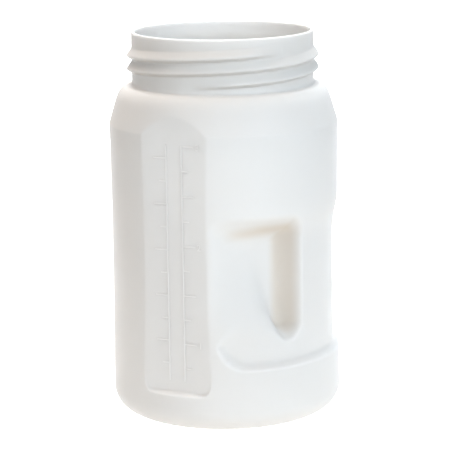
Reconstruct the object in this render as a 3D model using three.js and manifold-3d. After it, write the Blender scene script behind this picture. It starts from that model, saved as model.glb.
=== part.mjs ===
// A wide-mouth drum of about three litres, blow-moulded in one piece from natural polyethylene.
// It stands on its base with +Z up, the flat graduated panel faces -Y and the grip bar is at +X.
// Lengths are in millimetres and angles in degrees.
import * as THREE from 'three';
import { mergeVertices } from 'three/addons/utils/BufferGeometryUtils.js';
import Module from 'manifold-3d';

const wasm = await Module();
wasm.setup();

// Body: a cylinder with a slight waist, a round foot and a shallow push-up under the base
const HEIGHT = 255.4;
const WALL = 2;
const BODY_RADIUS = 76;
const BASE_RADIUS = 76.8;
const WAIST_RADIUS = 75;
const BASE_FILLET = 16;
const STANDING_RING_INNER = 50;
const PUSH_UP = 3;

// Shoulder: a crease, a steep cone and a round turn into the neck
const CREASE_HEIGHT = 195;
const CONE_TOP_RADIUS = 71.7;
const CONE_TOP_HEIGHT = 209.4;
const SHOULDER_HEIGHT = 220;
const SHOULDER_CORNER_RADIUS = 68.6;
const NECK_RADIUS = 60.2;
const NECK_FILLET = 2.5;
const RIM_CHAMFER = 0.7;

// Thread: two right-hand ridges with a steep underside, each running out into the neck
const THREAD_STARTS = 2;
const THREAD_LEAD = 17.4;
const THREAD_DEPTH = 3.6;
const THREAD_ROOT = 0.6;
const THREAD_UPPER_FLANK = 5.2;
const THREAD_LOWER_FLANK = 2.6;
const THREAD_CREST = 0.5;
const THREAD_FIRST_ANGLE = -83.5;
const THREAD_FIRST_HEIGHT = 225.4;
const THREAD_SWEEP = 420;
const THREAD_RUN_OUT = 0.06;
const THREAD_STEPS = 70;

// Graduated panel: a flat facet with round lower corners, two raised rails and two rows of marks
const PANEL_OFFSET = 72.3;
const PANEL_HALF_WIDTH = 24;
const PANEL_BOTTOM = 25;
const PANEL_CORNER = 8;
const SCALE_RELIEF = 0.5;
const SCALE_LINE = 0.9;
const RAIL_OFFSET = 5.5;
const RAIL_BOTTOM = 34;
const RAIL_TOP = 189.5;
const LONG_MARK = 9;
const SHORT_MARK = 5;
const MARK_COUNT = 10;
const RIGHT_MARKS = { side: 1, first: 42.8, pitch: 16.2 };
const LEFT_MARKS = { side: -1, first: 45.8, pitch: 15 };

// Grip: two mirrored finger pockets, an inset bar left between them and a shallow foot below
const BAR_HALF_WIDTH = 25.3;
const BAR_RADIUS = 72.2;
const BAR_LIP_ROUND = 5;
const BAR_LIP_OFFSET = 64.3;
const BAR_BOTTOM = 45.5;
const BAR_TOP = 128;
const BAR_BOTTOM_EDGE = 39.5;
const BAR_TOP_EDGE = 144;
const POCKET_FLOOR_OFFSET = 57;
const POCKET_FLOOR_TURN = 28.9;
const POCKET_CORNER = 6;
const POCKET_BOTTOM = 59;
const POCKET_TOP = 141;
const POCKET_RAMP_SLOPE = 0.65;
const POCKET_ROOF_SLOPE = 0.78;
const FOOT_FLOOR_OFFSET = 59;
const FOOT_TOP = 75;

// Fineness of the round surfaces, and how far the cutting shapes reach out and in
const ROUND_SEGMENTS = 80;
const CURVE_DIVISIONS = 3;
const REACH = 110;
const RING_INNER = 40;
const MERGE_DISTANCE = 1e-4;

const toRadians = THREE.MathUtils.degToRad;

// A closed geometry as a solid that can be joined and cut, with its faces turned outwards.
function solidFrom(geometry) {
  const bare = geometry.clone();
  bare.deleteAttribute('normal');
  bare.deleteAttribute('uv');
  const merged = mergeVertices(bare, MERGE_DISTANCE);
  const triVerts = [];
  for (let i = 0; i < merged.index.count; i += 3) {
    const [a, b, c] = merged.index.array.slice(i, i + 3);
    if (a !== b && b !== c && c !== a) triVerts.push(a, b, c);
  }
  if (signedVolume(merged.attributes.position, triVerts) < 0) triVerts.reverse();
  return new wasm.Manifold(
    new wasm.Mesh({
      numProp: 3,
      vertProperties: new Float32Array(merged.attributes.position.array),
      triVerts: new Uint32Array(triVerts),
    }),
  );
}

// Six times the volume that a closed set of triangles holds, negative where they face inwards.
function signedVolume(position, triVerts) {
  const corners = [new THREE.Vector3(), new THREE.Vector3(), new THREE.Vector3()];
  let volume = 0;
  for (let i = 0; i < triVerts.length; i += 3) {
    corners.forEach((corner, k) => corner.fromBufferAttribute(position, triVerts[i + k]));
    volume += corners[0].dot(corners[1].clone().cross(corners[2]));
  }
  return volume;
}

// A solid as a geometry with flat faces, ready to be drawn.
function geometryFrom(solid) {
  const { vertProperties, triVerts } = solid.getMesh();
  const geometry = new THREE.BufferGeometry();
  geometry.setAttribute('position', new THREE.BufferAttribute(vertProperties, 3));
  geometry.setIndex(new THREE.BufferAttribute(triVerts, 1));
  const faceted = geometry.toNonIndexed();
  faceted.computeVertexNormals();
  return faceted;
}

// A solid turned about the Z axis from points of radius and height.
function turned(points) {
  const geometry = new THREE.LatheGeometry(points, ROUND_SEGMENTS);
  geometry.rotateX(Math.PI / 2);
  return solidFrom(geometry);
}

// An upright prism over a plan outline, between two heights.
function prism(shape, bottom, top) {
  const geometry = new THREE.ExtrudeGeometry(shape, {
    depth: top - bottom,
    bevelEnabled: false,
    curveSegments: 2 * CURVE_DIVISIONS,
  });
  geometry.translate(0, 0, bottom);
  return solidFrom(geometry);
}

// A block given by its size along each axis and its centre.
function block(size, centre) {
  const geometry = new THREE.BoxGeometry(...size);
  geometry.translate(...centre);
  return solidFrom(geometry);
}

// The drum's turned form up to a top height, set in from the outer skin by a wall thickness.
function turnedForm(inset, top, chamfer) {
  const neck = NECK_RADIUS - inset;
  const shoulder = SHOULDER_HEIGHT - inset;
  const path = new THREE.Path();
  path.moveTo(0, PUSH_UP + inset);
  path.lineTo(STANDING_RING_INNER - PUSH_UP, PUSH_UP + inset);
  path.lineTo(STANDING_RING_INNER, inset);
  path.absarc(BASE_RADIUS - BASE_FILLET, BASE_FILLET, BASE_FILLET - inset, -Math.PI / 2, 0);
  path.quadraticCurveTo(
    WAIST_RADIUS - inset,
    (BASE_FILLET + CREASE_HEIGHT) / 2,
    BODY_RADIUS - inset,
    CREASE_HEIGHT,
  );
  path.lineTo(CONE_TOP_RADIUS - inset, CONE_TOP_HEIGHT);
  path.quadraticCurveTo(SHOULDER_CORNER_RADIUS - inset, shoulder, neck + NECK_FILLET, shoulder);
  path.quadraticCurveTo(neck, shoulder, neck, shoulder + NECK_FILLET);
  path.lineTo(neck, top - chamfer);
  path.lineTo(neck - chamfer, top);
  path.lineTo(0, top);
  return turned(path.getPoints(CURVE_DIVISIONS));
}

// The flat panel's cut, whose plane and outline both move inwards by the growth.
function panelCut(growth) {
  const side = PANEL_HALF_WIDTH + growth;
  const bottom = PANEL_BOTTOM - growth;
  const corner = PANEL_CORNER + growth;
  const shape = new THREE.Shape();
  shape.moveTo(side, HEIGHT);
  shape.lineTo(-side, HEIGHT);
  shape.absarc(corner - side, bottom + corner, corner, Math.PI, 1.5 * Math.PI);
  shape.absarc(side - corner, bottom + corner, corner, 1.5 * Math.PI, 2 * Math.PI);
  const geometry = new THREE.ExtrudeGeometry(shape, {
    depth: REACH,
    bevelEnabled: false,
    curveSegments: CURVE_DIVISIONS,
  });
  geometry.rotateX(Math.PI / 2);
  geometry.translate(0, growth - PANEL_OFFSET, 0);
  return solidFrom(geometry);
}

// The plan of the rear finger pocket: a slanted floor, a round corner and the bar's flat side.
function pocketPlan(growth, floorOffset) {
  const turn = toRadians(POCKET_FLOOR_TURN);
  const wall = BAR_HALF_WIDTH - growth;
  const corner = POCKET_CORNER + growth;
  const lip = BAR_LIP_ROUND - growth;
  const lipCentre = BAR_HALF_WIDTH - BAR_LIP_ROUND;
  const along = new THREE.Vector2(-Math.sin(turn), Math.cos(turn));
  const deep = new THREE.Vector2(
    (floorOffset - growth - wall * Math.sin(turn)) / Math.cos(turn),
    wall,
  );
  const floorEnd = deep.clone().addScaledVector(along, corner);
  const farEnd = deep.clone().addScaledVector(along, REACH);
  const shape = new THREE.Shape();
  shape.moveTo(farEnd.x, farEnd.y);
  shape.lineTo(floorEnd.x, floorEnd.y);
  shape.quadraticCurveTo(deep.x, deep.y, deep.x + corner, deep.y);
  shape.absarc(BAR_LIP_OFFSET, lipCentre, lip, Math.PI / 2, 0, true);
  shape.lineTo(REACH, lipCentre);
  shape.lineTo(REACH, farEnd.y);
  return shape;
}

// The ring that bounds a pocket above and below: its ends slope in as the pocket gets deeper.
function pocketRing(growth) {
  const roofRise = growth * Math.hypot(1, POCKET_ROOF_SLOPE);
  const rampDrop = growth * Math.hypot(1, POCKET_RAMP_SLOPE);
  const roof = (radius) => POCKET_TOP + roofRise + POCKET_ROOF_SLOPE * (radius - BODY_RADIUS);
  const ramp = (radius) => POCKET_BOTTOM - rampDrop - POCKET_RAMP_SLOPE * (radius - BAR_RADIUS);
  return turned([
    new THREE.Vector2(RING_INNER, ramp(RING_INNER)),
    new THREE.Vector2(REACH, ramp(REACH)),
    new THREE.Vector2(REACH, roof(REACH)),
    new THREE.Vector2(RING_INNER, roof(RING_INNER)),
    new THREE.Vector2(RING_INNER, ramp(RING_INNER)),
  ]);
}

// The cut of both finger pockets; the front one mirrors the rear one.
function pocketCuts(growth) {
  const wedge = prism(pocketPlan(growth, POCKET_FLOOR_OFFSET), 0, HEIGHT);
  const rear = wedge.intersect(pocketRing(growth));
  return rear.add(rear.mirror([0, 1, 0]));
}

// The cut that sets the bar and the grip's foot in from the body, steep below and gradual above.
function barCut(growth) {
  const skin = BODY_RADIUS - growth;
  const ring = turned([
    new THREE.Vector2(BAR_RADIUS - growth, BAR_BOTTOM),
    new THREE.Vector2(skin, BAR_BOTTOM_EDGE),
    new THREE.Vector2(REACH, BAR_BOTTOM_EDGE),
    new THREE.Vector2(REACH, BAR_TOP_EDGE),
    new THREE.Vector2(skin, BAR_TOP_EDGE),
    new THREE.Vector2(BAR_RADIUS - growth, BAR_TOP),
    new THREE.Vector2(BAR_RADIUS - growth, BAR_BOTTOM),
  ]);
  const bar = block([REACH, 2 * (BAR_HALF_WIDTH + growth), HEIGHT], [REACH / 2, 0, HEIGHT / 2]);
  const foot = prism(pocketPlan(growth, FOOT_FLOOR_OFFSET), 0, FOOT_TOP);
  return ring.intersect(bar.add(foot).add(foot.mirror([0, 1, 0])));
}

// The drum's form as one filled solid, without thread or scale.
function filledForm(inset, top, chamfer) {
  return turnedForm(inset, top, chamfer)
    .subtract(panelCut(inset))
    .subtract(pocketCuts(inset))
    .subtract(barCut(inset));
}

// The route of one thread ridge round the neck, sinking into the wall at both ends.
class ThreadRoute extends THREE.Curve {
  constructor(firstAngle) {
    super();
    this.firstAngle = firstAngle;
  }

  getPoint(t, target = new THREE.Vector3()) {
    const angle = toRadians(this.firstAngle + THREAD_SWEEP * t);
    const nearestEnd = Math.min(t, 1 - t) / THREAD_RUN_OUT;
    const sink = (1 - Math.min(nearestEnd, 1)) * (THREAD_DEPTH + THREAD_ROOT / 2);
    const radius = NECK_RADIUS - THREAD_ROOT - sink;
    const height = THREAD_FIRST_HEIGHT + (THREAD_LEAD * THREAD_SWEEP * t) / 360;
    return target.set(radius * Math.cos(angle), radius * Math.sin(angle), height);
  }

  // The section stays upright, with its first axis pointing straight out of the neck.
  computeFrenetFrames(segments) {
    const frames = { tangents: [], normals: [], binormals: [] };
    for (let i = 0; i <= segments; i += 1) {
      const out = this.getPointAt(i / segments).setZ(0).normalize();
      const up = new THREE.Vector3(0, 0, 1);
      frames.normals.push(out);
      frames.binormals.push(up);
      frames.tangents.push(up.clone().cross(out));
    }
    return frames;
  }
}

// One thread ridge of buttress section.
function threadRidge(firstAngle) {
  const crest = THREAD_ROOT + THREAD_DEPTH;
  const section = new THREE.Shape();
  section.moveTo(0, -THREAD_LOWER_FLANK);
  section.lineTo(crest, -THREAD_CREST);
  section.lineTo(crest, THREAD_CREST);
  section.lineTo(0, THREAD_UPPER_FLANK);
  const geometry = new THREE.ExtrudeGeometry(section, {
    steps: THREAD_STEPS,
    bevelEnabled: false,
    extrudePath: new ThreadRoute(firstAngle),
  });
  return solidFrom(geometry);
}

// A raised line on the panel, centred at a place across it and at a height.
function scaleLine(width, height, across, level) {
  return block([width, 2 * SCALE_RELIEF, height], [across, -PANEL_OFFSET, level]);
}

// The raised scale: two rails, each with a row of marks outside it, a long one at every other step.
function raisedScale() {
  const railMiddle = (RAIL_BOTTOM + RAIL_TOP) / 2;
  const lines = [];
  for (const { side, first, pitch } of [LEFT_MARKS, RIGHT_MARKS]) {
    lines.push(scaleLine(SCALE_LINE, RAIL_TOP - RAIL_BOTTOM, side * RAIL_OFFSET, railMiddle));
    for (let step = 0; step < MARK_COUNT; step += 1) {
      const mark = step % 2 === 1 ? LONG_MARK : SHORT_MARK;
      lines.push(scaleLine(mark, SCALE_LINE, side * (RAIL_OFFSET + mark / 2), first + pitch * step));
    }
  }
  return lines.reduce((joined, line) => joined.add(line));
}

// The whole drum: form, thread and scale, hollowed by the same form set in by the wall.
function drumSolid() {
  let outside = filledForm(0, HEIGHT, RIM_CHAMFER).add(raisedScale());
  for (let start = 0; start < THREAD_STARTS; start += 1) {
    outside = outside.add(threadRidge(THREAD_FIRST_ANGLE + (360 * start) / THREAD_STARTS));
  }
  return outside.subtract(filledForm(WALL, HEIGHT + WALL, 0));
}

const naturalPolyethylene = new THREE.MeshStandardMaterial({
  color: 0xe9ebec,
  roughness: 0.42,
  metalness: 0,
});

const drum = new THREE.Mesh(geometryFrom(drumSolid()), naturalPolyethylene);
drum.name = 'drum';

const object = new THREE.Group();
object.add(drum);

export default object;
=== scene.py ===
"""Studio picture of a wide-mouth drum of milky plastic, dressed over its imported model.

Sizes are in millimetres and angles in degrees, until a mesh is made in metres.
"""

import logging
import math
from bisect import bisect_left
from collections.abc import Sequence
from dataclasses import dataclass
from enum import Enum

import bmesh
import bpy
from mathutils import Matrix, Vector

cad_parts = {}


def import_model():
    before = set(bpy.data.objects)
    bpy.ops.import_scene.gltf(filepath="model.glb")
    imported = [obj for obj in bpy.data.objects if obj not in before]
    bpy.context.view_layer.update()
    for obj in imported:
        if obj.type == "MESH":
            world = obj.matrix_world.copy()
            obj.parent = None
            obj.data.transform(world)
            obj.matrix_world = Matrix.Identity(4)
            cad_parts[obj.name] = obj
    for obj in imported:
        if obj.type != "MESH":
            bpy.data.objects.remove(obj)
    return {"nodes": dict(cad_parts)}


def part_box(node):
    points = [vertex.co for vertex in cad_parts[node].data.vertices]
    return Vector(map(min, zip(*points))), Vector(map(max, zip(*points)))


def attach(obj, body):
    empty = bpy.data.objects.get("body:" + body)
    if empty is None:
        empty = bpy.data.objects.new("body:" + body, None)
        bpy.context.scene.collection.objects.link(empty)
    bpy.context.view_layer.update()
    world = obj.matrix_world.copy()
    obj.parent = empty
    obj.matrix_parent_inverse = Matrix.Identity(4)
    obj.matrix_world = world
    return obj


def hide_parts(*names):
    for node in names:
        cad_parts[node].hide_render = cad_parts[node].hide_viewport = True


LOG = logging.getLogger("drum")
MM = 0.001
FAR = 1.0e6
BODY = "root"
NODE = "drum"


def soft_min(a: float, b: float, reach: float) -> float:
    """Gives the smaller of two values, with the change between them rounded off.

    Args:
        a: One value.
        b: The other value.
        reach: How far apart the values are where the rounding starts.

    Returns:
        The rounded smaller value.
    """
    near = max(reach - abs(a - b), 0.0) / reach
    return min(a, b) - near * near * reach / 4.0


def soft_max(a: float, b: float, reach: float) -> float:
    """Gives the larger of two values, with the change between them rounded off.

    Args:
        a: One value.
        b: The other value.
        reach: How far apart the values are where the rounding starts.

    Returns:
        The rounded larger value.
    """
    return -soft_min(-a, -b, reach)


@dataclass(frozen=True)
class Band:
    """A stretch where the mesh lines lie closer together.

    Attributes:
        centre: Middle of the stretch.
        width: Half-width over which the lines thin out.
        gain: How many times denser the lines are in the middle.
    """

    centre: float
    width: float
    gain: float


def spread(low: float, high: float, count: int, bands: Sequence[Band]) -> list[float]:
    """Spreads places over a range, closer together inside the bands.

    Args:
        low: First place.
        high: Last place.
        count: Number of steps between them.
        bands: Stretches with closer places.

    Returns:
        The places in rising order, with both ends.
    """
    samples = 2000
    places = [low + (high - low) * i / samples for i in range(samples + 1)]
    total = [0.0]
    for place in places[1:]:
        dense = 1.0 + sum(b.gain * math.exp(-(((place - b.centre) / b.width) ** 2)) for b in bands)
        total.append(total[-1] + dense)
    chosen = []
    for i in range(count + 1):
        wanted = total[-1] * i / count
        k = min(max(bisect_left(total, wanted), 1), samples)
        part = (wanted - total[k - 1]) / (total[k] - total[k - 1])
        chosen.append(places[k - 1] + part * (places[k] - places[k - 1]))
    return chosen


@dataclass(frozen=True)
class Point:
    """A point of the drum's outline.

    Attributes:
        radius: Distance from the axis.
        height: Height above the floor.
        depth: How far the skin lies inside the outer one.
    """

    radius: float
    height: float
    depth: float


class Outline:
    """An outline drawn stretch by stretch in the plane of radius and height."""

    def __init__(self, radius: float, height: float, depth: float) -> None:
        """Starts the outline at one point of a skin of that depth."""
        self.depth = depth
        self.points = [Point(radius, height, depth)]

    def to(self, radius: float, height: float) -> None:
        """Adds one point."""
        self.points.append(Point(radius, height, self.depth))

    def line(self, radius: float, height: float, steps: int) -> None:
        """Goes straight to a point, in equal steps."""
        start = self.points[-1]
        for i in range(1, steps + 1):
            t = i / steps
            self.to(start.radius + (radius - start.radius) * t, start.height + (height - start.height) * t)

    def bend(self, corner: tuple[float, float], end: tuple[float, float], steps: int) -> None:
        """Goes round a corner to an end point on one smooth curve.

        Args:
            corner: Radius and height of the corner that the curve leans to.
            end: Radius and height where it ends.
            steps: Number of steps.
        """
        start = self.points[-1]
        for i in range(1, steps + 1):
            t = i / steps
            a, b, c = (1.0 - t) ** 2, 2.0 * t * (1.0 - t), t * t
            self.to(
                a * start.radius + b * corner[0] + c * end[0],
                a * start.height + b * corner[1] + c * end[1],
            )

    def foot(self, radius: float, height: float, reach: float, steps: int) -> None:
        """Rolls a quarter turn from the standing ring up into the wall.

        Args:
            radius: Radius of the turn's centre.
            height: Height of the turn's centre.
            reach: Radius of the turn itself.
            steps: Number of steps.
        """
        for i in range(steps + 1):
            turn = math.radians(90.0 * i / steps)
            self.to(radius + reach * math.sin(turn), height - reach * math.cos(turn))


@dataclass(frozen=True)
class Thread:
    """Two right-hand ridges round the neck, each running out at both ends.

    Attributes:
        starts: Number of ridges.
        lead: Rise of a ridge in one turn.
        depth: How far a crest stands out of the neck.
        lower: Height of the steep flank under a crest.
        upper: Height of the gentle flank over a crest.
        crest: Half the height of the flat crest.
        first_angle: Where the first ridge begins.
        first_height: Height of its crest there.
        sweep: Angle that a ridge runs through.
        run_out: Angle over which a ridge grows and fades.
        rounding: Softness of crest and root.
    """

    starts: int = 2
    lead: float = 17.4
    depth: float = 3.6
    lower: float = 2.6
    upper: float = 5.2
    crest: float = 0.5
    first_angle: float = -83.5
    first_height: float = 225.4
    sweep: float = 420.0
    run_out: float = 25.0
    rounding: float = 0.7

    def section(self, offset: float) -> float:
        """Gives how far a ridge stands out at a height over its crest."""
        below = self.depth * (offset + self.lower) / (self.lower - self.crest)
        above = self.depth * (self.upper - offset) / (self.upper - self.crest)
        peak = soft_min(soft_min(below, above, self.rounding), self.depth, self.rounding)
        return max(soft_max(peak, 0.0, self.rounding) - self.rounding / 4.0, 0.0)

    def stand_out(self, angle: float, height: float) -> float:
        """Gives how far the thread stands out of the neck at a place.

        Args:
            angle: Place round the neck.
            height: Height above the floor.

        Returns:
            The largest of the ridges there.
        """
        most = 0.0
        for start in range(self.starts):
            run = (angle - self.first_angle - 360.0 * start / self.starts) % 360.0
            while run <= self.sweep:
                fade = min(run / self.run_out, (self.sweep - run) / self.run_out, 1.0)
                offset = height - self.first_height - self.lead * run / 360.0
                most = max(most, fade * self.section(offset))
                run += 360.0
        return most


@dataclass(frozen=True)
class Panel:
    """The flat facet at the front that carries the scale.

    Attributes:
        facing: Angle that it faces.
        offset: Distance of its plane from the axis.
        half_width: Half its width.
        bottom: Height of its lower ledge.
        corner: Radius of its lower corners.
        ledge_slope: Radius lost for each millimetre up the ledge.
        edge: Softness of its long edges.
        fillet: Softness of the turn from ledge to plane.
        reach: Angle to both sides within which the panel is looked for.
    """

    facing: float = -90.0
    offset: float = 72.3
    half_width: float = 24.0
    bottom: float = 25.0
    corner: float = 8.0
    ledge_slope: float = 2.2
    edge: float = 0.45
    fillet: float = 1.2
    reach: float = 60.0

    def radius(self, angle: float, height: float, wall: float, depth: float) -> float:
        """Gives the distance of the panel's face from the axis at a place.

        Args:
            angle: Place round the drum.
            height: Height above the floor.
            wall: Radius of the round wall there.
            depth: Depth of the skin inside the outer one.

        Returns:
            The distance, or a far one where there is no panel.
        """
        turn = math.radians(angle - self.facing)
        if math.cos(turn) < math.cos(math.radians(self.reach)):
            return FAR
        flat = (self.offset - depth) / math.cos(turn)
        past = abs(self.offset * math.tan(turn)) - (self.half_width - self.corner)
        past = min(max(past, 0.0), self.corner)
        lift = self.corner - math.sqrt(self.corner**2 - past**2)
        ledge = wall - self.ledge_slope * (height - self.bottom + depth - lift)
        return soft_max(flat, ledge, self.fillet)


@dataclass(frozen=True)
class Grip:
    """Two mirrored finger pockets, an inset bar between them and a shallow foot below.

    Attributes:
        bar_half: Half the bar's width.
        bar_radius: Distance of the inset face of bar and foot from the axis.
        bar_bottom: Height where the inset is full at the lower end.
        bar_bottom_edge: Height where it starts there.
        bar_top: Height where the inset is full at the upper end.
        bar_top_edge: Height where it ends there.
        foot_offset: Distance from the axis of the plane that closes the foot sideways.
        curl_angle: Angle from the bar where the foot's lower edge starts to curl up.
        curl_reach: Angle over which it rises by the curl's height.
        curl_height: Rise of that edge at the end of the curl.
        floor_offset: Distance of a pocket's flat floor from the axis.
        floor_turn: Angle that the floor faces.
        bottom: Lowest height of a pocket's round lower end at the bar's face.
        end_middle: Angle from the bar of that lowest place.
        end_radius: Radius of the round lower end.
        end_spread: How many times its radius the round lower end takes to level out.
        top_angle: Angle from the bar where the roof starts to turn down beside it.
        top_reach: Angle over which it turns down.
        top_drop: How far the roof has turned down after that angle.
        top: Height of its upper edge at the skin.
        end_slope: Rise of the lower end for each millimetre of depth, beside the bar.
        ramp_slope: Rise of the lower end for each millimetre of depth, away from the bar.
        ramp_start: Angle from the bar where the end starts to turn into a gentle ramp.
        ramp_full: Angle where it is as gentle as it gets.
        roof_slope: Fall of the roof for each millimetre of depth.
        corner: Softness of the deep corner at the bar.
        end_corner: Softness of the floor's turn into roof and lower end, beside the bar.
        ramp_corner: Softness of that turn away from the bar.
        lip: Softness of the pocket's outer edges, and of the bar's.
        edge: Softness of the outer edges of the inset.
        run_out: Share of the bar's half-angle over which its inset runs out sideways.
        end_fillet: Softness of the inset's ends, as a share of its depth.
        side_fillet: Softness of its sides, as a share of its depth.
        meet_fillet: Softness where ends and sides meet, as a share of its depth.
        reach: Angle to both sides of the floor's middle within which a pocket is looked for.
        start: Angle from the bar's middle where a pocket is first looked for.
    """

    bar_half: float = 25.3
    bar_radius: float = 72.2
    bar_bottom: float = 45.5
    bar_bottom_edge: float = 42.3
    bar_top: float = 128.0
    bar_top_edge: float = 144.0
    foot_offset: float = 59.0
    curl_angle: float = 54.0
    curl_reach: float = 11.0
    curl_height: float = 9.0
    floor_offset: float = 57.0
    floor_turn: float = 28.9
    bottom: float = 59.0
    end_middle: float = 28.8
    end_radius: float = 10.7
    end_spread: float = 1.25
    top_angle: float = 27.5
    top_reach: float = 7.0
    top_drop: float = 7.5
    top: float = 141.0
    end_slope: float = 0.45
    ramp_slope: float = 2.0
    ramp_start: float = 30.0
    ramp_full: float = 52.0
    roof_slope: float = 0.78
    corner: float = 8.0
    end_corner: float = 5.0
    ramp_corner: float = 14.0
    lip: float = 3.6
    edge: float = 1.1
    run_out: float = 0.25
    end_fillet: float = 0.35
    side_fillet: float = 0.6
    meet_fillet: float = 0.45
    reach: float = 72.5
    start: float = 5.0

    def inset(self, angle: float, height: float, skin: float, depth: float) -> float:
        """Gives the distance of the inset face of bar and foot from the axis at a place.

        Args:
            angle: Place round the drum, from the bar's middle.
            height: Height above the floor.
            skin: Radius of the drum's plain wall.
            depth: Depth of the skin inside the outer one.

        Returns:
            The distance, or a far one away from bar and foot.
        """
        facing = math.cos(math.radians(angle - self.floor_turn))
        if facing < math.cos(math.radians(self.reach)):
            return FAR
        step = skin - self.bar_radius
        side = math.degrees(math.asin(self.bar_half / self.bar_radius))
        curl = max(angle - self.curl_angle, 0.0) / self.curl_reach
        lower = self.bar_bottom + self.curl_height * curl * curl
        over = (height - self.bar_top) / (self.bar_top_edge - self.bar_top)
        under = (lower - height) / (self.bar_bottom - self.bar_bottom_edge)
        narrow = (angle - side) / (self.run_out * side)
        wide = (self.foot_offset / facing - self.bar_radius) / step
        part = min(max((height - self.bottom) / (self.bar_top - self.bottom), 0.0), 1.0)
        beside = wide + (narrow - wide) * part
        ends = soft_max(over, under, self.end_fillet)
        rise = soft_max(ends, soft_max(beside, 0.0, self.side_fillet), self.meet_fillet)
        return self.bar_radius - depth + step * rise

    def pocket(self, angle: float, height: float, skin: float, depth: float) -> float:
        """Gives the distance of a pocket's surface from the axis at a place.

        Args:
            angle: Place round the drum, from the bar's middle.
            height: Height above the floor.
            skin: Radius of the drum's plain wall.
            depth: Depth of the skin inside the outer one.

        Returns:
            The distance, or a far one where there is no pocket.
        """
        facing = math.cos(math.radians(angle - self.floor_turn))
        if facing < math.cos(math.radians(self.reach)) or angle < self.start:
            return FAR
        floor = (self.floor_offset - depth) / facing
        side = (self.bar_half - depth) / math.sin(math.radians(angle))
        part = min(max((angle - self.ramp_start) / (self.ramp_full - self.ramp_start), 0.0), 1.0)
        part = part * part * (3.0 - 2.0 * part)
        slope = self.end_slope + (self.ramp_slope - self.end_slope) * part
        corner = self.end_corner + (self.ramp_corner - self.end_corner) * part
        aside = self.bar_radius * math.radians(abs(angle - self.end_middle))
        bend = min(aside / (self.end_spread * self.end_radius), 1.0)
        bottom = self.bottom + self.end_radius * bend**3 * (4.0 - 3.0 * bend)
        beside = max(self.top_angle - angle, 0.0) / self.top_reach
        top = self.top - self.top_drop * beside * beside
        roof_lift = depth * math.hypot(1.0, self.roof_slope)
        ramp_drop = depth * math.hypot(1.0, slope)
        roof = skin + (height - top - roof_lift) / self.roof_slope
        ramp = self.bar_radius - (height - bottom + ramp_drop) / slope
        ends = max(roof, ramp)
        return soft_max(soft_max(floor, side, self.corner), ends, corner)


@dataclass(frozen=True)
class Body:
    """The drum's round form from base to rim.

    Attributes:
        height: Whole height.
        base_radius: Radius just over the round foot.
        wall: Wall thickness.
        radius: Radius at the shoulder crease.
        waist: Radius that the wall leans in to.
        foot: Radius of the round foot.
        ring_inner: Inner radius of the standing ring.
        push_up: Rise of the base inside the ring.
        crease: Height of the shoulder crease.
        crease_round: Half-length of the crease's rounding.
        cone_radius: Radius at the top of the steep cone.
        cone_height: Height there.
        shoulder: Height where the shoulder meets the neck.
        shoulder_corner: Radius that the shoulder's turn leans to.
        neck: Radius of the neck between the ridges.
        neck_fillet: Size of the turn from shoulder to neck.
        lip: Rounding of the rim.
    """

    height: float
    base_radius: float
    wall: float = 2.0
    radius: float = 76.0
    waist: float = 75.0
    foot: float = 16.0
    ring_inner: float = 50.0
    push_up: float = 3.0
    crease: float = 195.0
    crease_round: float = 0.8
    cone_radius: float = 71.7
    cone_height: float = 209.4
    shoulder: float = 220.0
    shoulder_corner: float = 68.6
    neck: float = 60.2
    neck_fillet: float = 2.5
    lip: float = 0.8

    def wall_radius(self, height: float) -> float:
        """Gives the plain wall's outer radius at a height."""
        t = min(max((height - self.foot) / (self.crease - self.foot), 0.0), 1.0)
        return (1.0 - t) ** 2 * self.base_radius + 2.0 * t * (1.0 - t) * self.waist + t * t * self.radius


class Detail(Enum):
    """How finely a skin is meshed: steps of foot, wall, cone, shoulder and neck."""

    OUTER = (12, 112, 22, 14, 66)
    INNER = (6, 44, 6, 6, 6)


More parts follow.
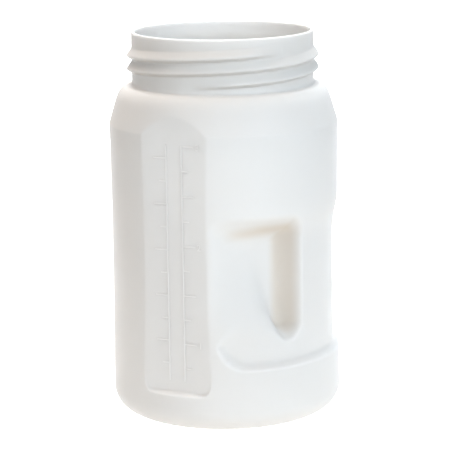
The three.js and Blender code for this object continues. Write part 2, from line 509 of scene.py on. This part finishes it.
class Drum:
    """The drum's shell, spun from one outline and pressed into panel, pockets, bar and thread."""

    columns = 268
    weld = 1.0e-4

    def __init__(self, body: Body, thread: Thread, panel: Panel, grip: Grip) -> None:
        """Keeps the sizes of the drum's features."""
        self.body = body
        self.thread = thread
        self.panel = panel
        self.grip = grip

    def wall_rows(self, count: int) -> list[float]:
        """Spreads the wall's rows, closer at the ledge and at the ends of the pockets."""
        bands = [
            Band(self.panel.bottom + 1.0, 3.0, 4.0),
            Band(self.grip.bar_bottom - 3.0, 5.0, 3.0),
            Band(self.grip.bottom + 6.0, 9.0, 3.0),
            Band(self.grip.top - 8.0, 10.0, 3.0),
        ]
        return spread(self.body.foot, self.body.crease - self.body.crease_round, count, bands)

    def angles(self) -> list[float]:
        """Spreads the columns, closer at the bar, the pockets' ends and the panel's edges."""
        side = math.degrees(math.asin(self.grip.bar_half / self.grip.bar_radius))
        reach = math.degrees(math.acos(self.grip.floor_offset / self.body.radius))
        half = math.degrees(math.acos(self.panel.offset / self.body.radius))
        bands = []
        for turn in (-360.0, 0.0, 360.0):
            for sign in (-1.0, 1.0):
                bands.append(Band(turn + sign * (side + 2.0), 5.5, 9.0))
                bands.append(Band(turn + sign * (self.grip.floor_turn + reach), 3.5, 2.5))
                bands.append(Band(turn + self.panel.facing + sign * half, 1.5, 7.0))
            bands.append(Band(turn + self.panel.facing, half, 0.6))
        return spread(0.0, 360.0, self.columns, bands)

    def skin(self, depth: float, detail: Detail) -> list[Point]:
        """Draws one skin's outline from the base's middle to the rim.

        Args:
            depth: How far the skin lies inside the outer one.
            detail: How finely it is drawn.

        Returns:
            The outline's points.
        """
        b = self.body
        foot, wall, cone, shoulder, neck = detail.value
        top = b.shoulder - depth
        outline = Outline(0.0, b.push_up + depth, depth)
        outline.line(b.ring_inner - b.push_up, b.push_up + depth, 6)
        outline.line(b.ring_inner, depth, 2)
        outline.foot(b.base_radius - b.foot, b.foot, b.foot - depth, foot)
        for height in self.wall_rows(wall)[1:]:
            outline.to(b.wall_radius(height) - depth, height)
        lean = (b.radius - b.cone_radius) / (b.cone_height - b.crease)
        past = (b.radius - depth - lean * b.crease_round, b.crease + b.crease_round)
        outline.bend((b.radius - depth, b.crease), past, 3)
        outline.line(b.cone_radius - depth, b.cone_height, cone)
        outline.bend((b.shoulder_corner - depth, top), (b.neck - depth + b.neck_fillet, top), shoulder)
        outline.bend((b.neck - depth, top), (b.neck - depth, top + b.neck_fillet), 4)
        outline.line(b.neck - depth, b.height - b.lip, neck)
        return outline.points

    def outline(self) -> list[Point]:
        """Joins the outer skin, the rounded rim and the inner skin into one outline."""
        b = self.body
        rim = Outline(b.neck, b.height - b.lip, 0.0)
        rim.bend((b.neck, b.height), (b.neck - b.lip, b.height), 4)
        rim.line(b.neck - b.wall + b.lip, b.height, 1)
        rim.bend((b.neck - b.wall, b.height), (b.neck - b.wall, b.height - b.lip), 4)
        inner = self.skin(b.wall, Detail.INNER)
        return self.skin(0.0, Detail.OUTER) + rim.points[1:-1] + inner[::-1]

    def pressed(self, point: Point, angle: float) -> float:
        """Gives the radius of the finished skin at a point of the outline and an angle.

        Args:
            point: The point of the outline.
            angle: Place round the drum.

        Returns:
            The radius with panel, bar, pocket and thread.
        """
        height, depth, radius = point.height, point.depth, point.radius
        neck_foot = self.body.shoulder - depth
        if height > neck_foot:
            if depth == 0.0 and radius == self.body.neck:
                return radius + self.thread.stand_out(angle, height)
            return radius
        aside = abs((angle + 180.0) % 360.0 - 180.0)
        plain = self.body.wall_radius(height)
        flat = self.panel.radius(angle, height, plain, depth)
        inset = self.grip.inset(aside, height, plain, depth)
        pocket = self.grip.pocket(aside, height, plain, depth)
        radius = soft_min(radius, flat, self.panel.edge)
        radius = soft_min(radius, inset, self.grip.edge)
        return soft_min(radius, pocket, self.grip.lip)

    def mesh(self) -> bpy.types.Mesh:
        """Spins the outline and presses the features into it.

        Returns:
            The closed shell, in metres.
        """
        points = self.outline()
        angles = self.angles()
        shell = bmesh.new()
        row = shell.verts.layers.int.new("row")
        verts = []
        for index, point in enumerate(points):
            vert = shell.verts.new((point.radius, 0.0, point.height))
            vert[row] = index
            verts.append(vert)
        edges = [shell.edges.new(pair) for pair in zip(verts, verts[1:])]
        bmesh.ops.spin(
            shell,
            geom=verts + edges,
            cent=(0.0, 0.0, 0.0),
            axis=(0.0, 0.0, 1.0),
            angle=math.tau,
            steps=self.columns,
            use_merge=True,
        )
        bmesh.ops.remove_doubles(shell, verts=shell.verts[:], dist=self.weld)
        for vert in shell.verts:
            point = points[vert[row]]
            column = round(math.atan2(vert.co.y, vert.co.x) / math.tau * self.columns) % self.columns
            angle = angles[column]
            radius = self.pressed(point, angle) * MM
            turn = math.radians(angle)
            vert.co = (radius * math.cos(turn), radius * math.sin(turn), point.height * MM)
        bmesh.ops.recalc_face_normals(shell, faces=shell.faces[:])
        for face in shell.faces:
            face.smooth = True
        shell.verts.layers.int.remove(row)
        mesh = bpy.data.meshes.new(NODE)
        shell.to_mesh(mesh)
        shell.free()
        return mesh


@dataclass(frozen=True)
class Column:
    """One row of scale marks beside a rail.

    Attributes:
        side: Which side of the panel's middle it is on.
        first: Height of the lowest mark.
        pitch: Height between marks.
        count: Number of marks.
        long_every: Every how many marks one is long.
        long_first: Which mark is the first long one.
    """

    side: int
    first: float
    pitch: float
    count: int
    long_every: int
    long_first: int


class Scale:
    """The raised scale on the panel: two rails, two rows of marks and plain figures."""

    rail_offset = 5.5
    rail_bottom = 34.0
    rail_top = 189.5
    line = 0.9
    relief = 0.25
    long_mark = 9.0
    short_mark = 5.0
    bevel = 0.15
    figure_size = 6.0
    figure_gap = 1.2
    figure_middle = 0.35
    columns = (Column(1, 42.8, 16.2, 10, 2, 1), Column(-1, 45.8, 15.0, 10, 2, 1))
    figures = {1: 59.0, 2: 123.8, 3: 188.6}

    def __init__(self, panel: Panel) -> None:
        """Keeps the panel that carries the scale."""
        self.panel = panel

    def bar(self, shape: bmesh.types.BMesh, across: float, level: float, width: float, tall: float) -> None:
        """Adds one raised line.

        Args:
            shape: The mesh that it is added to.
            across: Middle of the line across the panel.
            level: Height of its middle.
            width: Its width.
            tall: Its height.
        """
        made = bmesh.ops.create_cube(shape, size=1.0)["verts"]
        bmesh.ops.scale(shape, vec=(width, 2.0 * self.relief, tall), verts=made)
        bmesh.ops.translate(shape, vec=(across, -self.panel.offset, level), verts=made)

    def mesh(self) -> bpy.types.Mesh:
        """Builds rails and marks as rounded raised lines, in metres."""
        shape = bmesh.new()
        middle = (self.rail_bottom + self.rail_top) / 2.0
        for column in self.columns:
            rail = column.side * self.rail_offset
            self.bar(shape, rail, middle, self.line, self.rail_top - self.rail_bottom)
            for step in range(column.count):
                is_long = step % column.long_every == column.long_first
                width = self.long_mark if is_long else self.short_mark
                across = rail + column.side * width / 2.0
                self.bar(shape, across, column.first + column.pitch * step, width, self.line)
        bmesh.ops.bevel(
            shape,
            geom=shape.edges[:],
            offset=self.bevel,
            offset_type="OFFSET",
            affect="EDGES",
            segments=2,
            profile=0.5,
            material=-1,
        )
        bmesh.ops.scale(shape, vec=(MM, MM, MM), verts=shape.verts[:])
        mesh = bpy.data.meshes.new("scale_marks")
        shape.to_mesh(mesh)
        shape.free()
        return mesh

    def figure(self, number: int, level: float) -> bpy.types.Mesh:
        """Builds one raised figure beside its long mark.

        Args:
            number: The number it shows.
            level: Height of the mark that it belongs to.

        Returns:
            The figure's mesh, in metres, in place on the panel.
        """
        text = bpy.data.curves.new(f"figure_{number}", "FONT")
        text.body = str(number)
        text.size = self.figure_size
        text.extrude = self.relief
        text.align_x = "LEFT"
        holder = bpy.data.objects.new(text.name, text)
        bpy.context.scene.collection.objects.link(holder)
        bpy.context.view_layer.update()
        ready = holder.evaluated_get(bpy.context.evaluated_depsgraph_get())
        mesh = bpy.data.meshes.new_from_object(ready)
        bpy.data.objects.remove(holder)
        bpy.data.curves.remove(text)
        across = self.rail_offset + self.long_mark + self.figure_gap
        foot = level - self.figure_middle * self.figure_size
        place = Matrix.Translation((across, -self.panel.offset, foot))
        upright = Matrix.Rotation(math.radians(90.0), 4, "X")
        mesh.transform(Matrix.Scale(MM, 4) @ place @ upright)
        return mesh


@dataclass(frozen=True)
class MilkyPlastic:
    """Satin milky plastic that light soaks through, with shade painted into its colour round the neck and
    in the deep folds.

    Attributes:
        colour: Linear base colour.
        soak: Weight of the light that scatters inside.
        soak_depth: Reach of that light, in metres.
        tint: Share of the colour that is left in the wall's palest flow marks.
        roughness: Mean roughness of the satin surface.
        roughness_spread: How far the grain takes the roughness up and down.
        index: Index of refraction.
        specular: Strength of the surface's reflections.
        grain_scale: Fineness of the satin grain, per metre.
        grain_height: Height of the grain, in metres.
        flow_scale: Fineness of the slow waves in the wall, per metre.
        flow_height: Height of those waves, in metres.
        neck_painted_shade: Linear colour of the shade painted round the neck, darker and warmer than the
            wall.
        neck_start: Height where that tone starts, in metres.
        neck_full: Height where it is full, in metres.
        neck_skin: Distances from the axis where it starts and where it is full, in metres.
        fold_painted_shade: Linear colour of the shade painted into the deep folds beside the bar, darker
            and warmer than the wall.
        fold_side: Distances from the bar's middle plane where it is full and where it ends, in metres.
        fold_depth: Distances from the axis where it is full and where it ends, in metres.
        fold_foot: Heights where it ends and where it is full at the lower end, in metres.
        fold_roof: Heights where it starts and where it is full in the pockets' roofs, in metres.
        fold_top: Heights up to which it is full and where it ends, in metres.
    """

    colour: tuple[float, float, float] = (0.73, 0.715, 0.69)
    soak: float = 1.0
    soak_depth: float = 0.005
    tint: float = 0.985
    roughness: float = 0.42
    roughness_spread: float = 0.06
    index: float = 1.5
    specular: float = 0.16
    grain_scale: float = 900.0
    grain_height: float = 0.00004
    flow_scale: float = 28.0
    flow_height: float = 0.0003
    neck_painted_shade: tuple[float, float, float] = (0.655, 0.64, 0.615)
    neck_start: float = 0.214
    neck_full: float = 0.228
    neck_skin: tuple[float, float] = (0.0588, 0.06)
    fold_painted_shade: tuple[float, float, float] = (0.645, 0.595, 0.535)
    fold_side: tuple[float, float] = (0.027, 0.034)
    fold_depth: tuple[float, float] = (0.064, 0.0725)
    fold_foot: tuple[float, float] = (0.056, 0.067)
    fold_roof: tuple[float, float] = (0.124, 0.132)
    fold_top: tuple[float, float] = (0.164, 0.214)

    @staticmethod
    def fade(
        tree: bpy.types.NodeTree, value: bpy.types.NodeSocket, start: float, full: float
    ) -> bpy.types.NodeSocket:
        """Adds a smooth change from nothing to one as a value goes from start to full.

        Args:
            tree: The node tree that it is added to.
            value: Socket of the value.
            start: Value where the change starts.
            full: Value where it is complete.

        Returns:
            Socket of the result.
        """
        node = tree.nodes.new("ShaderNodeMapRange")
        node.interpolation_type = "SMOOTHSTEP"
        node.inputs["From Min"].default_value = min(start, full)
        node.inputs["From Max"].default_value = max(start, full)
        node.inputs["To Min"].default_value = 0.0 if start < full else 1.0
        node.inputs["To Max"].default_value = 1.0 if start < full else 0.0
        tree.links.new(value, node.inputs["Value"])
        return node.outputs["Result"]

    @staticmethod
    def joined(
        tree: bpy.types.NodeTree, operation: str, first: bpy.types.NodeSocket, *others: bpy.types.NodeSocket
    ) -> bpy.types.NodeSocket:
        """Joins amounts one after the other with a math operation.

        Args:
            tree: The node tree that the nodes are added to.
            operation: The operation.
            first: Socket of the first amount.
            others: Sockets of the other amounts.

        Returns:
            Socket of the result.
        """
        amount = first
        for other in others:
            node = tree.nodes.new("ShaderNodeMath")
            node.operation = operation
            tree.links.new(amount, node.inputs[0])
            tree.links.new(other, node.inputs[1])
            amount = node.outputs[0]
        return amount

    def painted_shade_masks(
        self, tree: bpy.types.NodeTree, place: bpy.types.NodeSocket
    ) -> tuple[bpy.types.NodeSocket, bpy.types.NodeSocket]:
        """Adds the nodes that tell how far a place has the shade painted round the neck and the shade
        painted in the folds.

        Args:
            tree: The node tree that they are added to.
            place: Socket of the place.

        Returns:
            Sockets of both amounts, from nothing to one.
        """
        parts = tree.nodes.new("ShaderNodeSeparateXYZ")
        tree.links.new(place, parts.inputs[0])
        level = parts.outputs["Z"]
        aside = tree.nodes.new("ShaderNodeMath")
        aside.operation = "ABSOLUTE"
        tree.links.new(parts.outputs["Y"], aside.inputs[0])
        flat = tree.nodes.new("ShaderNodeVectorMath")
        flat.operation = "MULTIPLY"
        flat.inputs[1].default_value = (1.0, 1.0, 0.0)
        tree.links.new(place, flat.inputs[0])
        length = tree.nodes.new("ShaderNodeVectorMath")
        length.operation = "LENGTH"
        tree.links.new(flat.outputs["Vector"], length.inputs[0])
        reach = length.outputs["Value"]
        # Painted shade round the neck: it fades in over the top of the shoulder and is full on the neck's
        # outer skin.
        neck = self.joined(
            tree,
            "MULTIPLY",
            self.fade(tree, level, self.neck_start, self.neck_full),
            self.fade(tree, reach, self.neck_skin[0], self.neck_skin[1]),
        )
        # Painted shade in the pockets' deep folds: where the skin lies well inside the wall's radius, near
        # the bar's middle plane or up in the roofs, from over the lower ends up to below the shoulder.
        beside = self.fade(tree, aside.outputs[0], self.fold_side[1], self.fold_side[0])
        above = self.fade(tree, level, self.fold_roof[0], self.fold_roof[1])
        fold = self.joined(
            tree,
            "MULTIPLY",
            self.joined(tree, "MAXIMUM", beside, above),
            self.fade(tree, reach, self.fold_depth[1], self.fold_depth[0]),
            self.fade(tree, level, self.fold_foot[0], self.fold_foot[1]),
            self.fade(tree, level, self.fold_top[1], self.fold_top[0]),
        )
        return neck, fold

    def material(self, name: str) -> bpy.types.Material:
        """Builds the plastic's node material under a name."""
        material = bpy.data.materials.new(name)
        material.use_nodes = True
        nodes, links = material.node_tree.nodes, material.node_tree.links
        shader = nodes["Principled BSDF"]
        shader.inputs["Subsurface Weight"].default_value = self.soak
        shader.inputs["Subsurface Radius"].default_value = (1.0, 1.0, 1.0)
        shader.inputs["Subsurface Scale"].default_value = self.soak_depth
        shader.inputs["IOR"].default_value = self.index
        shader.inputs["Specular IOR Level"].default_value = self.specular
        place = nodes.new("ShaderNodeTexCoord")
        flow = nodes.new("ShaderNodeTexNoise")
        flow.inputs["Scale"].default_value = self.flow_scale
        flow.inputs["Detail"].default_value = 3.0
        grain = nodes.new("ShaderNodeTexNoise")
        grain.inputs["Scale"].default_value = self.grain_scale
        grain.inputs["Detail"].default_value = 2.0
        tint = nodes.new("ShaderNodeMix")
        tint.data_type = "RGBA"
        tint.inputs["A"].default_value = (*[self.tint * c for c in self.colour], 1.0)
        tint.inputs["B"].default_value = (*self.colour, 1.0)
        gloss = nodes.new("ShaderNodeMapRange")
        gloss.inputs["To Min"].default_value = self.roughness - self.roughness_spread
        gloss.inputs["To Max"].default_value = self.roughness + self.roughness_spread
        waves = nodes.new("ShaderNodeBump")
        waves.inputs["Distance"].default_value = self.flow_height
        satin = nodes.new("ShaderNodeBump")
        satin.inputs["Distance"].default_value = self.grain_height
        links.new(place.outputs["Object"], flow.inputs["Vector"])
        links.new(place.outputs["Object"], grain.inputs["Vector"])
        links.new(flow.outputs["Fac"], tint.inputs["Factor"])
        neck, fold = self.painted_shade_masks(material.node_tree, place.outputs["Object"])
        colour = tint.outputs["Result"]
        # Paints shade into the base colour: a darker, warmer tone round the neck and in the pockets' deep
        # folds.
        for amount, tone in ((neck, self.neck_painted_shade), (fold, self.fold_painted_shade)):
            dense = nodes.new("ShaderNodeMix")
            dense.data_type = "RGBA"
            dense.inputs["B"].default_value = (*tone, 1.0)
            links.new(amount, dense.inputs["Factor"])
            links.new(colour, dense.inputs["A"])
            colour = dense.outputs["Result"]
        links.new(colour, shader.inputs["Base Color"])
        links.new(grain.outputs["Fac"], gloss.inputs["Value"])
        links.new(gloss.outputs["Result"], shader.inputs["Roughness"])
        links.new(flow.outputs["Fac"], waves.inputs["Height"])
        links.new(grain.outputs["Fac"], satin.inputs["Height"])
        links.new(waves.outputs["Normal"], satin.inputs["Normal"])
        links.new(satin.outputs["Normal"], shader.inputs["Normal"])
        return material


@dataclass(frozen=True)
class PaleSweep:
    """The even, pale finish of floor and backdrop.

    Attributes:
        colour: Linear colour of the floor.
        glow: Strength of its own even glow.
        roughness: Its roughness.
    """

    colour: tuple[float, float, float] = (0.9, 0.9, 0.9)
    glow: float = 1.0
    roughness: float = 0.9

    def material(self) -> bpy.types.Material:
        """Builds the node material of floor and backdrop."""
        material = bpy.data.materials.new("pale_sweep")
        material.use_nodes = True
        shader = material.node_tree.nodes["Principled BSDF"]
        shader.inputs["Base Color"].default_value = (*self.colour, 1.0)
        shader.inputs["Roughness"].default_value = self.roughness
        shader.inputs["Emission Color"].default_value = (1.0, 1.0, 1.0, 1.0)
        shader.inputs["Emission Strength"].default_value = self.glow
        return material


@dataclass(frozen=True)
class Lamp:
    """A soft rectangular studio lamp aimed at the drum.

    Attributes:
        name: Name of the lamp.
        azimuth: Where it stands round the drum, from the panel's side to the bar's.
        elevation: How high it stands.
        distance: Distance from the drum, in metres.
        size: Side of its square face, in metres.
        power: Its power in watts.
        colour: Colour of its light.
    """

    name: str
    azimuth: float
    elevation: float
    distance: float
    size: float
    power: float
    colour: tuple[float, float, float]


class Studio:
    """The pale floor and backdrop, the soft lights and the camera."""

    room_radius = 8.0
    target_height = 0.1236
    camera_place = (0.5992, -1.2019, 0.402)
    camera_roll = -0.84
    lens = 163.0
    sensor = 36.0
    bounce_colour = (1.0, 0.9, 0.76)
    bounce_strength = 0.14
    glow_size = 0.9
    glow_power = 1.75
    glow_colour = (1.0, 0.986, 0.966)
    glow_drop = 0.002
    lamps = (
        Lamp("key", 66.0, 20.0, 2.0, 1.6, 29.0, (0.78, 0.89, 1.0)),
        Lamp("front", 44.0, 45.0, 2.0, 1.6, 10.5, (0.82, 0.92, 1.0)),
        Lamp("front_left", -8.0, 28.0, 2.0, 1.6, 13.5, (0.96, 0.97, 1.0)),
        Lamp("left", -88.0, 80.0, 2.0, 1.6, 26.0, (1.0, 0.75, 0.54)),
        Lamp("back", 206.5, 60.0, 2.0, 1.6, 66.0, (0.82, 0.91, 1.0)),
    )

    def sweep(self) -> None:
        """Lays the floor and sets the round backdrop behind it, both hidden from diffuse, transmission and
        shadow rays.
        """
        finish = PaleSweep().material()
        floor = bmesh.new()
        bmesh.ops.create_grid(floor, x_segments=1, y_segments=1, size=self.room_radius)
        backdrop = bmesh.new()
        bmesh.ops.create_uvsphere(backdrop, u_segments=48, v_segments=24, radius=self.room_radius)
        bmesh.ops.reverse_faces(backdrop, faces=backdrop.faces[:])
        for name, shape in (("floor", floor), ("backdrop", backdrop)):
            mesh = bpy.data.meshes.new(name)
            shape.to_mesh(mesh)
            shape.free()
            mesh.materials.append(finish)
            stage = bpy.data.objects.new(name, mesh)
            stage.visible_diffuse = False
            stage.visible_transmission = False
            stage.visible_shadow = False
            bpy.context.scene.collection.objects.link(stage)

    def light(self, lamp: Lamp) -> bpy.types.Object:
        """Hangs one lamp and aims it at the drum."""
        data = bpy.data.lights.new(lamp.name, "AREA")
        data.shape = "SQUARE"
        data.size = lamp.size
        data.energy = lamp.power
        data.color = lamp.colour
        azimuth, elevation = math.radians(lamp.azimuth), math.radians(lamp.elevation)
        out = Vector((
            math.sin(azimuth) * math.cos(elevation),
            -math.cos(azimuth) * math.cos(elevation),
            math.sin(elevation),
        ))
        holder = bpy.data.objects.new(lamp.name, data)
        holder.location = out * lamp.distance + Vector((0.0, 0.0, self.target_height))
        holder.rotation_euler = out.to_track_quat("Z", "Y").to_euler()
        holder.visible_camera = False
        bpy.context.scene.collection.objects.link(holder)
        return holder

    def glow(self) -> bpy.types.Object:
        """Sets a round glow into the floor under the drum."""
        data = bpy.data.lights.new("floor_glow", "AREA")
        data.shape = "DISK"
        data.size = self.glow_size
        data.energy = self.glow_power
        data.color = self.glow_colour
        holder = bpy.data.objects.new("floor_glow", data)
        holder.location = (0.0, 0.0, -self.glow_drop)
        holder.rotation_euler = (math.pi, 0.0, 0.0)
        holder.visible_camera = False
        bpy.context.scene.collection.objects.link(holder)
        return holder

    def bounce(self) -> None:
        """Sends warm light up from below the horizon, as a pale room does."""
        world = bpy.data.worlds.new("studio")
        world.use_nodes = True
        nodes, links = world.node_tree.nodes, world.node_tree.links
        background = nodes["Background"]
        background.inputs["Color"].default_value = (*self.bounce_colour, 1.0)
        place = nodes.new("ShaderNodeTexCoord")
        parts = nodes.new("ShaderNodeSeparateXYZ")
        below = nodes.new("ShaderNodeMath")
        below.operation = "LESS_THAN"
        below.inputs[1].default_value = 0.0
        strength = nodes.new("ShaderNodeMath")
        strength.operation = "MULTIPLY"
        strength.inputs[1].default_value = self.bounce_strength
        links.new(place.outputs["Generated"], parts.inputs[0])
        links.new(parts.outputs["Z"], below.inputs[0])
        links.new(below.outputs[0], strength.inputs[0])
        links.new(strength.outputs[0], background.inputs["Strength"])
        bpy.context.scene.world = world

    def camera(self) -> bpy.types.Object:
        """Sets the camera at the photograph's angle, with its slight roll."""
        data = bpy.data.cameras.new("camera")
        data.sensor_width = self.sensor
        data.lens = self.lens
        place = Vector(self.camera_place)
        ahead = (Vector((0.0, 0.0, self.target_height)) - place).normalized()
        right = ahead.cross(Vector((0.0, 0.0, 1.0))).normalized()
        up = right.cross(ahead)
        upright = Matrix((right, up, -ahead)).transposed().to_4x4()
        roll = Matrix.Rotation(math.radians(self.camera_roll), 4, "Z")
        camera = bpy.data.objects.new("camera", data)
        camera.matrix_world = Matrix.Translation(place) @ upright @ roll
        bpy.context.scene.collection.objects.link(camera)
        bpy.context.scene.camera = camera
        return camera

    def build(self) -> None:
        """Builds the whole studio."""
        self.sweep()
        for lamp in self.lamps:
            self.light(lamp)
        self.glow()
        self.bounce()
        self.camera()
        bpy.context.scene.view_settings.view_transform = "Standard"


def add_piece(name: str, mesh: bpy.types.Mesh, material: bpy.types.Material) -> bpy.types.Object:
    """Puts a mesh into the scene as a piece of the drum.

    Args:
        name: Name of the piece.
        mesh: Its mesh, in place.
        material: Its finish.

    Returns:
        The piece, riding on the drum.
    """
    mesh.materials.clear()
    mesh.materials.append(material)
    piece = bpy.data.objects.new(name, mesh)
    bpy.context.scene.collection.objects.link(piece)
    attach(piece, BODY)
    LOG.info("%s: %d faces", name, len(mesh.polygons))
    return piece


def main() -> None:
    """Builds the drum, its scale and the studio."""
    logging.basicConfig(level=logging.INFO, format="%(name)s %(message)s")
    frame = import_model()
    LOG.info("nodes: %s", sorted(frame["nodes"]))
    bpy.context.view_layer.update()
    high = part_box(NODE)[1]
    body = Body(height=high[2] / MM, base_radius=high[0] / MM)
    panel = Panel()
    plastic = MilkyPlastic().material("milky_plastic_painted_shade")
    # The raised marks get an opaque copy of the plastic whose lighter colour is painted light, so that they
    # read lighter than the wall round them.
    raised = MilkyPlastic(colour=(0.83, 0.815, 0.79), soak=0.0).material("raised_plastic_painted_light")
    shell = add_piece("drum_shell", Drum(body, Thread(), panel, Grip()).mesh(), plastic)
    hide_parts(NODE)
    scale = Scale(panel)
    add_piece("scale_marks", scale.mesh(), raised)
    for number, level in scale.figures.items():
        add_piece(f"scale_figure_{number}", scale.figure(number, level), raised)
    Studio().build()


if __name__ == "__main__":
    main()
